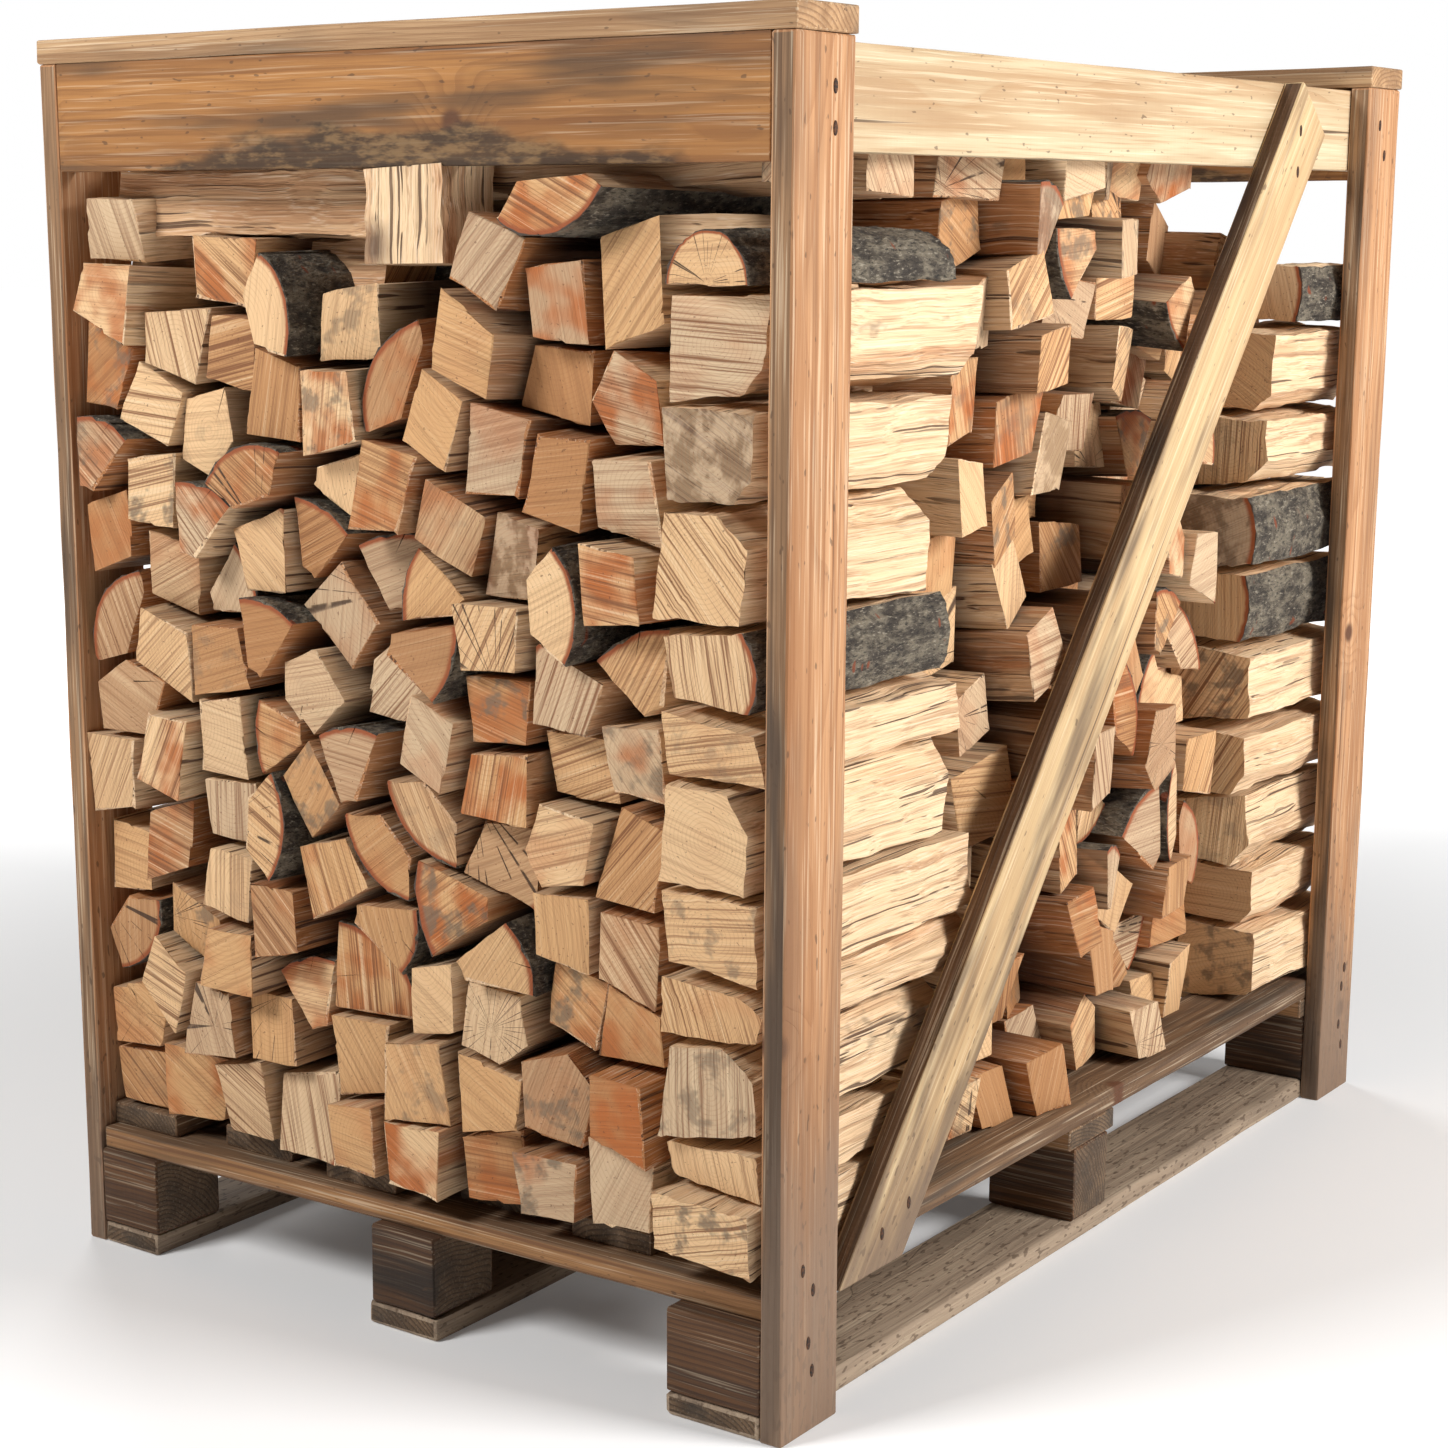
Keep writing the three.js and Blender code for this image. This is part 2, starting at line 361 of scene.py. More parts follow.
def cut(point, normal, away=False):
    """A flat cut through the piece. With away, the part that the normal points to is taken off."""
    bpy.ops.mesh.select_all(action="SELECT")
    bpy.ops.mesh.bisect(plane_co=point, plane_no=normal, use_fill=away, clear_outer=away)


def pick(piece, kind, test):
    """Selects the faces, edges or vertices that pass a test, and leaves the piece in edit mode."""
    bpy.ops.object.mode_set(mode="EDIT")
    bpy.ops.mesh.select_all(action="DESELECT")
    bpy.ops.mesh.select_mode(type=kind)
    leave_edit()
    mesh = piece.data
    items = {"FACE": mesh.polygons, "EDGE": mesh.edges, "VERT": mesh.vertices}[kind]
    for item in items:
        item.select = bool(test(item))
    bpy.ops.object.mode_set(mode="EDIT")


def unsettle(piece, offset, seed):
    """Moves every corner by a small random amount."""
    edit(piece)
    bpy.ops.transform.vertex_random(offset=offset, uniform=0.0, normal=0.0, seed=seed)
    leave_edit()


def bevel(piece, test, width, segments, material):
    """Breaks the edges that pass a test."""
    pick(piece, "EDGE", test)
    bpy.ops.mesh.bevel(offset=width, segments=segments, affect="EDGES", material=material)
    leave_edit()


def pointing(angle):
    """The direction across a log at this angle in degrees, which turns from right to up."""
    return Vector((math.cos(math.radians(angle)), 0, math.sin(math.radians(angle))))


def store(mesh, name, kind, values):
    """Writes a value at each vertex, under a name that the finishes read."""
    layer = mesh.attributes.get(name) or mesh.attributes.new(name, kind, "POINT")
    key = {"FLOAT": "value", "FLOAT_VECTOR": "vector", "FLOAT_COLOR": "color"}[kind]
    layer.data.foreach_set(key, np.asarray(values, np.float32).ravel())


def places(mesh):
    co = np.empty(len(mesh.vertices) * 3, np.float32)
    mesh.vertices.foreach_get("co", co)
    return co.reshape(-1, 3)


def put(mesh, co):
    mesh.vertices.foreach_set("co", np.asarray(co, np.float32).ravel())
    mesh.update()


END, SIDE, BARK = range(3)
ROUND_SIDES = 20
print("cutting tools ready")

# %% The split
def split_log(name, radius, cuts, length, seed, rings=3, strips=5, ease=0.0027, chamfer=0.0009):
    """A round of the given radius, cut by planes at (angle in degrees, distance from the centre)."""
    chance = random.Random(seed)
    select_only()
    bpy.ops.mesh.primitive_cylinder_add(vertices=ROUND_SIDES, radius=radius, depth=length,
                                        location=(0, length / 2, 0), rotation=(math.pi / 2, 0, 0))
    piece = new_piece()
    piece.name = name
    edit(piece)
    for angle, distance in cuts:
        cut(pointing(angle) * distance, pointing(angle), away=True)
    leave_edit()
    middle = Vector(places(piece.data).mean(0))
    edit(piece)
    for _ in range(strips):
        angle = chance.uniform(0, math.pi)
        aside = Vector((chance.gauss(0, 0.008), 0, chance.gauss(0, 0.008)))
        cut(middle + aside, (math.cos(angle), 0, math.sin(angle)))
    for ring in range(1, rings + 1):
        cut((0, length * (ring + chance.uniform(-0.2, 0.2)) / (rings + 1), 0), (0, 1, 0))
    leave_edit()
    mesh = piece.data
    mesh.materials.clear()
    for finish in LOG_FINISHES:
        mesh.materials.append(finish)
    for face in mesh.polygons:
        centre = face.center
        if abs(face.normal.y) > 0.7:
            face.material_index = END
        elif math.hypot(centre.x, centre.z) > radius * 0.972:
            face.material_index = BARK
        else:
            face.material_index = SIDE
    if chamfer:
        ends = {key for f in mesh.polygons if f.material_index == END for key in f.edge_keys}
        sides = {key for f in mesh.polygons if f.material_index != END for key in f.edge_keys}
        rim = ends & sides
        bevel(piece, lambda edge: tuple(sorted(edge.vertices)) in rim, chamfer, 1, -1)
    lengths = places(mesh)[:, 1].copy()
    unsettle(piece, ease, seed)
    co = places(mesh)
    store(mesh, "own", "FLOAT_VECTOR", co)
    store(mesh, "bark_radius", "FLOAT", np.full(len(co), radius))
    lean = [(chance.gauss(0, 0.08), chance.gauss(0, 0.07)) for _ in range(2)]
    near = (co - middle)[:, 0] * lean[0][0] + (co - middle)[:, 2] * lean[0][1]
    far = (co - middle)[:, 0] * lean[1][0] + (co - middle)[:, 2] * lean[1][1]
    share = lengths / length
    bow = chance.uniform(-0.006, 0.006) * np.sin(math.pi * share)
    co[:, 1] = lengths + near * (1 - share) + far * share
    co[:, 0] += bow
    put(mesh, co - np.array([middle.x, 0, middle.z], np.float32))
    return piece


# The ways to split a round. Each gives the radius in metres and the cuts.
def squared(chance):
    """A heavy block from the middle of the round, squared off on all four sides."""
    width, height = chance.uniform(0.056, 0.100), chance.uniform(0.058, 0.092)
    turns = [chance.uniform(-13, 13) for _ in range(4)]
    gaps = (width / 2, height / 2, width / 2, height / 2)
    lift = Vector((chance.uniform(0.0, 0.05), 0, chance.uniform(0.0, 0.05)))
    cuts = []
    for side in range(4):
        angle = 90 * side + turns[side]
        cuts.append((angle, gaps[side] + lift.dot(pointing(angle))))
    return chance.uniform(0.105, 0.14), cuts


def five_sided(chance):
    """A block with five split sides."""
    start = chance.uniform(0, 360)
    size = chance.uniform(0.034, 0.050)
    cuts = []
    for side in range(5):
        cuts.append((start + 72 * side + chance.uniform(-16, 16), size * chance.uniform(0.82, 1.1)))
    return 0.12, cuts


def quarter(chance):
    """A quarter of the round with its bark on, often with the heart split off."""
    span = chance.uniform(76, 100)
    cuts = [(-90, 0.0), (span + 90, 0.0)]
    if chance.random() < 0.6:
        cuts.append((span / 2 + 180 + chance.uniform(-15, 15), -chance.uniform(0.016, 0.034)))
    return chance.uniform(0.078, 0.106), cuts


def wedge(chance):
    """A narrow wedge from the heart to the bark."""
    span = chance.uniform(38, 60)
    cuts = [(-90, 0.0), (span + 90, 0.0), (span / 2 + 180 + chance.uniform(-20, 20), -0.02)]
    return chance.uniform(0.084, 0.116), cuts


SPLITS = (squared,) * 15 + (five_sided,) * 9 + (quarter,) * 4 + (wedge,) * 3
LOG_LENGTH = 0.315
chance = random.Random(11)
masters = []
for number, split in enumerate(SPLITS):
    radius, cuts = split(chance)
    length = LOG_LENGTH + chance.uniform(-0.008, 0.008)
    masters.append(split_log(f"split_{number:02d}", radius, cuts, length, seed=number + 1))
faces = [len(master.data.polygons) for master in masters]
print(len(masters), "split shapes of", min(faces), "to", max(faces), "faces")

# %% [markdown]
# ## Stacking by hand
# Someone stacks a crate log by log. They look for the lowest place, turn a few logs over in their
# hands, and put down the one that sits best. The stack here is made in that way. The top of the stack
# is kept as a line of heights every two millimetres, each log shape is known at many turns, and the log
# that leaves the least empty space under it, and the flattest top, is laid at the lowest place. That
# gives the touching sides, the small black gaps and the wandering courses of a real stack, which a
# regular pattern or a rigid body drop wouldn't.

# %% The shapes that can be laid
STEP = 0.002
TURN_STEP = 12
LEAST_ROOM = 0.028
PLUG = 0.020
CLOSED = 9.0
PLUG_REACH = 6
MOST_LOGS = 500
BEST_SPOTS = 4
LOOK_AROUND = 20
WASTE_COST, STEP_COST, HEIGHT_COST, SIZE_GAIN, OVER_COST = 2.0, 0.008, 0.008, 0.12, 0.03


def outline_chain(points):
    """The lower edge of a set of points, from left to right."""
    chain = []
    for point in sorted(points):
        while len(chain) > 1:
            (ax, az), (bx, bz) = chain[-2], chain[-1]
            if (bx - ax) * (point[1] - az) - (bz - az) * (point[0] - ax) > 0:
                break
            chain.pop()
        chain.append(point)
    return chain


def height_line(points, width):
    """How high the lower edge of the points lies in each step across the width."""
    chain = outline_chain(points)
    count = math.ceil(width / STEP)
    across = np.minimum(np.linspace(0, count * STEP, count * 4 + 1), width)
    line = np.interp(across, [p[0] for p in chain], [p[1] for p in chain])
    return np.minimum.reduceat(line, np.arange(0, count * 4, 4))


def turned_shapes(masters, chance):
    """Each master at many turns and seen from either end: its lower and upper edges and its area."""
    shapes = []
    for index, master in enumerate(masters):
        flat = places(master.data)[:, [0, 2]].astype(float)
        for mirror in (1, -1):
            for turn in range(0, 360, TURN_STEP):
                angle = math.radians(turn + chance.uniform(-6, 6))
                spin = np.array([[math.cos(angle), math.sin(angle)], [-math.sin(angle), math.cos(angle)]])
                points = (flat * (mirror, 1)) @ spin
                low = points.min(0)
                points = points - low
                width = points[:, 0].max()
                lower = height_line([tuple(p) for p in points], width)
                upper = -height_line([(x, -z) for x, z in points], width)
                shapes.append((index, mirror, angle, -low, lower, upper))
    return shapes


shapes = turned_shapes(masters, chance)
print(len(shapes), "ways to lay a log")

# %% Laying the logs
def lay_logs(width, top, seed, tries=260, lowered=()):
    """Lays logs in a bin of this width until no more fit under the top, which may be lower in places.

    lowered holds (from, to, drop) for each such place. Returns where each log lies.
    """
    chance = random.Random(seed)
    heights = np.zeros(int(width / STEP))
    ceiling = np.full(len(heights), float(top))
    for start, end, drop in lowered:
        ceiling[int(start / STEP):int(end / STEP)] -= drop
    laid = []
    for _ in range(MOST_LOGS):
        open_places = np.where(ceiling - heights > LEAST_ROOM, heights, CLOSED)
        lowest = int(np.argmin(open_places))
        if open_places[lowest] == CLOSED:
            break
        best = None
        for shape in chance.sample(shapes, tries):
            lower, upper = shape[4], shape[5]
            size = len(lower)
            last = len(heights) - size
            if last < 0:
                continue
            first = min(max(0, lowest - size + 3), last)
            until = max(first, min(last, max(lowest - 1, 0)))
            windows = sliding_window_view(heights[first:until + size], size)
            rest = (windows - lower).max(1)
            waste = (rest[:, None] + lower - windows).sum(1) * STEP
            for pick_at in np.argsort(waste)[:BEST_SPOTS]:
                left, z = first + int(pick_at), float(rest[pick_at])
                edge = max(0, left - LOOK_AROUND)
                around = heights[edge:left + size + LOOK_AROUND].copy()
                start = left - edge
                around[start:start + size] = np.maximum(around[start:start + size], z + upper)
                steps = float(np.abs(np.diff(around)).sum())
                area = float((upper - lower).sum()) * STEP
                over = bool((z + upper > ceiling[left:left + size]).any())
                score = waste[pick_at] * WASTE_COST + steps * STEP_COST
                score += (z + float(upper.mean())) * HEIGHT_COST
                score += over * OVER_COST - area * SIZE_GAIN
                if best is None or score < best[0]:
                    best = (score, shape, left, z, over)
        _, (index, mirror, angle, centre, lower, upper), left, z, over = best
        if over:
            gap = slice(max(0, lowest - PLUG_REACH), lowest + PLUG_REACH + 1)
            heights[gap] = np.maximum(heights[gap], heights[lowest] + PLUG)
            continue
        spot = slice(left, left + len(lower))
        heights[spot] = np.maximum(heights[spot], z + upper)
        laid.append((index, mirror, angle, left * STEP + centre[0], z + centre[1], z + upper.max()))
    return laid


print("stacking rule ready")

# %% [markdown]
# ## From places to logs
# Each place gets a copy of its master with a mesh of its own, so that the chance numbers, the small
# tilt and how far the end sticks out belong to that log alone. The row is laid out as seen from outside
# the crate, and one turn about Z then faces it to the front, right, back or left. A row is joined in a
# few upright bands, which keeps each piece light.

# %% Copying and joining logs
FACING = {"front": 0, "right": 90, "back": 180, "left": -90}
# How far in from a log's end the painted shade on its sides reaches full strength.
SHADE_REACH = 0.045
END_LEAN = 0.09


def copy_log(master, mirror, angle, chance, girth=0.955, deep=1.0):
    """A log of its own, turned about its length, with its near end at Y = 0.

    It is a little slimmer than its place, so narrow gaps show. The saw never cuts quite square, so the
    near end leans. deep says how much painted shade darkens the sides away from their ends.
    """
    piece = master.copy()
    piece.data = master.data.copy()
    bpy.context.scene.collection.objects.link(piece)
    co = places(piece.data).astype(float)
    length = co[:, 1].max()
    if mirror < 0:
        co = co * (-1, -1, 1) + (0, length, 0)
    c, s = math.cos(angle) * girth, math.sin(angle) * girth
    x, z = co[:, 0] * c - co[:, 2] * s, co[:, 0] * s + co[:, 2] * c
    numbers = [chance.random() for _ in range(4)]
    store(piece.data, "chance", "FLOAT_COLOR", np.tile(numbers, (len(co), 1)))
    # Painted shade: the sides darken over the first few centimetres in from either end.
    from_end = np.minimum(co[:, 1], length - co[:, 1])
    store(piece.data, "deep", "FLOAT", np.clip(from_end / SHADE_REACH, 0, 1) * deep)
    lean_x, lean_z = chance.gauss(0, END_LEAN), chance.gauss(0, END_LEAN)
    y = co[:, 1] + (1 - co[:, 1] / length) * (x * lean_x + z * lean_z)
    put(piece.data, np.stack([x, y - y.min(), z], 1))
    return piece


def lay_piece(piece, across, inward, up, facing, origin, chance, tilt=0.9):
    """Moves a log's mesh to its place in a row that faces one side of the crate."""
    co = places(piece.data).astype(float)
    half = Vector((0, co[:, 1].mean(), 0))
    swing = [math.radians(chance.gauss(0, tilt)) for _ in range(2)]
    nudge = Matrix.Rotation(swing[0], 4, "Z") @ Matrix.Rotation(swing[1] * 0.5, 4, "X")
    around = Matrix.Translation(half) @ nudge @ Matrix.Translation(-half)
    move = Matrix.Translation(Vector((across, inward, up)))
    turn = Matrix.Translation(origin) @ Matrix.Rotation(math.radians(FACING[facing]), 4, "Z")
    piece.data.transform(turn @ move @ around)
    return piece


def join_pieces(pieces, name):
    select_only(*pieces)
    bpy.ops.object.join()
    joined = bpy.context.object
    joined.name = name
    joined.data.name = name
    return joined


def belongs(piece, slot, *nodes):
    """Every finished piece is smoothed, rides with the crate, and hides the CAD nodes it takes the place
    of.
    """
    select_only(piece)
    bpy.ops.object.shade_smooth_by_angle(angle=math.radians(32))
    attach(piece, "root")
    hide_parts(*nodes)
    return piece


# %% The four stacks
RAIL_UNDERSIDE = {side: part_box(f"rail_{side}")[0].z for side in FACING}
BEHIND_RAIL = {"front": 0.046, "right": 0.022, "back": 0.046, "left": 0.022}
PUSHED_IN_SHARE = 0.10
FLANK = 0.065
UNDER_SKY = 0.030


def build_row(node, facing, seed, bands, inset, spread, looser=0.0, extra=0.0, lowered=(), tilt=0.9):
    """Fills the space of one stack. The log tips lie inset behind its outer face, more or less.

    Logs on the flanks and top of the stack get less painted shade, and those under a rail lie behind it.
    """
    low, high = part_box(node)
    width = high.x - low.x if facing in ("front", "back") else high.y - low.y
    tall = high.z - low.z + extra
    origin = Vector((low.x if facing in ("front", "left") else high.x,
                     low.y if facing in ("front", "right") else high.y, low.z))
    chance = random.Random(seed)
    groups = [[] for _ in range(bands)]
    for index, mirror, angle, across, up, top in lay_logs(width, tall, seed, lowered=lowered):
        on_flank = min(across, width - across) < FLANK
        # Painted shade on the sides: little on the stack's flanks, half near its top, full inside.
        deep = 0.1 if on_flank else 0.5 if top > tall - UNDER_SKY else 1.0
        piece = copy_log(masters[index], mirror, angle, chance, deep=deep)
        loose = spread + looser * max(0.0, up / tall - 0.6)
        inward = max(0.001, inset + chance.gauss(0, loose))
        if chance.random() < PUSHED_IN_SHARE:
            inward += chance.uniform(0.010, 0.022)
        if low.z + top > RAIL_UNDERSIDE[facing] - 0.004:
            inward = max(inward, BEHIND_RAIL[facing])
        lay_piece(piece, across, inward, up, facing, origin, chance, tilt)
        groups[min(bands - 1, int(bands * across / width))].append(piece)
    for number, group in enumerate(groups, 1):
        joined = belongs(join_pieces(group, f"{node}_{number}"), "split_firewood", node)
        print(joined.name, "holds", len(group), "logs and", len(joined.data.polygons), "faces")


HOLLOWS = ((0.100, 0.366, 0.052), (0.366, 0.474, 0.078))
build_row("front_row_logs", "front", 3, 3, 0.020, 0.010, lowered=HOLLOWS)
build_row("back_row_logs", "back", 5, 2, 0.020, 0.010)
build_row("middle_right_logs", "right", 2, 2, 0.034, 0.024, 0.05, 0.010, tilt=3.0)
build_row("middle_left_logs", "left", 8, 2, 0.034, 0.024, 0.05, 0.010, tilt=3.0)

# %% [markdown]
# ## The loose course on top
# The last few logs are thrown on rather than stacked. They lie at odd angles behind the rails, thin
# side down, and only their upper sides show.

# %% Loose logs
def build_top_course():
    low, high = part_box("top_course_logs")
    chance = random.Random(8)
    pieces = []
    rows, columns = 9, 2
    for row in range(rows):
        for column in range(columns):
            master = masters[chance.randrange(len(masters))]
            # The loose logs get only a quarter of the painted shade on their sides.
            piece = copy_log(master, 1, 0.0, chance, 1.0, 0.25)
            co = places(piece.data)
            size = co.max(0) - co.min(0)
            if size[2] > size[0]:
                co = co[:, [2, 1, 0]] * (1, 1, -1)
            co = co * (1, 1, min(1.0, 0.076 / (co[:, 2].max() - co[:, 2].min())))
            co = co - (0, co[:, 1].mean(), co[:, 2].min())
            put(piece.data, co)
            x = low.x + (column + 0.5) * (high.x - low.x) / columns + chance.uniform(-0.03, 0.03)
            y = low.y + 0.06 + (row + 0.5) * (high.y - low.y - 0.12) / rows + chance.uniform(-0.01, 0.01)
            turn = math.radians(90 + chance.gauss(0, 7))
            place = Matrix.Translation((x, y, low.z - 0.026)) @ Matrix.Rotation(turn, 4, "Z")
            piece.data.transform(place)
            pieces.append(piece)
    joined = belongs(join_pieces(pieces, "top_course_logs_laid"), "split_firewood", "top_course_logs")
    print(joined.name, "holds", len(pieces), "logs")


build_top_course()

# %% [markdown]
# ## The corner columns
# The logs beside the corner posts are picked with care: square, sound ones that build a steady column.
# Their long sides show, so each is split for its own place and gets many more cuts than a stacked log.
# The torn fibres are then raised and lowered with noise that is stretched along the log.

# %% Corner logs
CORNER_RINGS = 12


def tear_fibres(piece, amount, seed):
    """Moves the split sides in and out in long thin ridges, as torn wood has them."""
    mesh = piece.data
    co = places(mesh)
    normals = np.empty(len(mesh.vertices) * 3, np.float32)
    mesh.vertices.foreach_get("normal", normals)
    normals = normals.reshape(-1, 3)
    shift = Vector((seed * 3.1, seed * 1.7, seed * 0.9))
    for index, (x, y, z) in enumerate(co.tolist()):
        lean = 0.16 * y
        ridge = noise.noise(Vector((x * 150, y * 5, (z + lean) * 150)) + shift)
        ledge = noise.noise(Vector((x * 42, y * 6, (z + lean) * 42)) - shift)
        wave = noise.noise(Vector((x * 9, y * 9, z * 9)) + shift * 2)
        co[index] += normals[index] * (1, 0, 1) * amount * (ridge + 1.6 * ledge + 1.8 * wave)
    put(mesh, co)


def refine(piece, cuts):
    """Gives the split sides and the bark a finer net of faces."""
    pick(piece, "FACE", lambda face: face.material_index != END)
    bpy.ops.mesh.subdivide(number_cuts=cuts)
    leave_edit()


def set_chance(piece, tone, stain, grey, turn):
    count = len(piece.data.vertices)
    store(piece.data, "chance", "FLOAT_COLOR", np.tile([tone, stain, grey, turn], (count, 1)))


def corner_cuts(kind, width, height, chance):
    """The round's radius and the cuts for a log that fills a space of this width and height."""
    turns = [chance.uniform(-9, 9) for _ in range(4)]
    if kind == "half_moon":
        radius = (width * width / 4 + height * height) / (2 * height)
        return radius, [(-90, height - radius)]
    if kind == "bark":
        radius = 0.11
        right = radius - 0.006
        return radius, [(90 + turns[1], height / 2), (180 + turns[2], width - right),
                        (270 + turns[3], height / 2)]
    reach = (width / 2, height / 2, width / 2, height / 2)
    cuts = [(90 * side + turns[side], reach[side]) for side in range(4)]
    if chance.random() < 0.6:
        corner = chance.choice((1, -1)) * chance.uniform(32, 58)
        cuts.append((corner, math.hypot(width, height) / 2 - chance.uniform(0.010, 0.022)))
    return 0.16, cuts


def build_column(prefix, count, kinds, cuts):
    for number in range(1, count + 1):
        node = f"{prefix}_{number:02d}"
        low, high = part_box(node)
        size = high - low
        chance = random.Random(number * 7 + cuts)
        radius, planes = corner_cuts(kinds.get(number, "square"), size.x, size.z, chance)
        piece = split_log(node + "_split", radius, planes, size.y, number + 50, rings=CORNER_RINGS,
                          strips=5, ease=0.0014, chamfer=0.0)
        refine(piece, cuts)
        tear_fibres(piece, 0.0023, number)
        co = places(piece.data)
        near, far = co.min(0), co.max(0)
        co = (co - near) / (far - near) * np.array(size) + np.array(low)
        put(piece.data, co)
        set_chance(piece, chance.uniform(0.62, 1.0), chance.uniform(0.0, 0.6), chance.random(),
                   0.8 if number == 1 else chance.uniform(0.0, 0.79))
        belongs(piece, "split_firewood", node)
        piece.name = node + "_split"
    print(count, "logs in", prefix, "each of about", len(piece.data.polygons), "faces")


build_column("front_corner_log", 12, {8: "bark", 12: "half_moon"}, 3)
build_column("back_corner_log", 10, {6: "bark", 7: "bark", 10: "bark"}, 2)

# %% [markdown]
# ## Odd pieces under the front rail
# A short off-cut stands on its end under the rail, so its torn grain runs upright and shows a knot. To
# its left one log lies crosswise, and another is buried behind it. All three are split like the corner
# logs and turned before they are put in the hollows that the front row leaves for them.

# %% Off-cut and crosswise log
def odd_log(name, planes, length, number, rings, cuts, torn, chances):
    piece = split_log(name, 0.16, planes, length, number, rings, strips=6, chamfer=0.0)
    refine(piece, cuts)
    tear_fibres(piece, *torn)
    set_chance(piece, *chances)
    return piece


def put_in_hollow(piece, place, turned, axis):
    turn = Matrix.Rotation(math.radians(turned), 4, axis)
    piece.data.transform(Matrix.Translation(place) @ turn)
    belongs(piece, "split_firewood", "front_row_logs")


def build_offcut():
    planes = [(4, 0.046), (92, 0.030), (178, 0.045), (268, 0.030)]
    piece = odd_log("upright_offcut", planes, 0.082, 77, 5, 3, (0.0016, 5), (0.80, 0.62, 0.1, 0.3))
    from_knot = np.linalg.norm((places(piece.data) - (-0.034, 0.016, 0.030)) * (1.0, 0.8, 1.0), axis=1)
    store(piece.data, "deep", "FLOAT", np.clip(1.3 - from_knot / 0.018, 0, 1))
    put_in_hollow(piece, (0.026, -0.590, 0.980), 90, "X")


def build_crosswise_log(name, place, turned, number):
    planes = [(8, 0.034), (84, 0.030), (186, 0.036), (272, 0.032)]
    piece = odd_log(name, planes, 0.330, number, 9, 2, (0.0020, number - 69), (0.5, 0.5, 0.3, 0.6))
    put_in_hollow(piece, place, turned, "Z")


build_offcut()
build_crosswise_log("crosswise_log", (-0.366, -0.548, 1.034), -86, 78)
build_crosswise_log("buried_log", (-0.404, -0.496, 0.974), -90, 79)
print("off-cut and crosswise logs placed")

# %% [markdown]
# ## Timber finishes
# The crate's boards are sawn softwood. Each board carries its own coordinates too: X across the face, Y
# along the grain and Z through the board. The growth rings are shells round a tree centre that lies
# behind the face, so they give lines on the face, arches where the board dips, and rings on the ends
# without any extra work. Knots come from scattered points that push the lines aside.

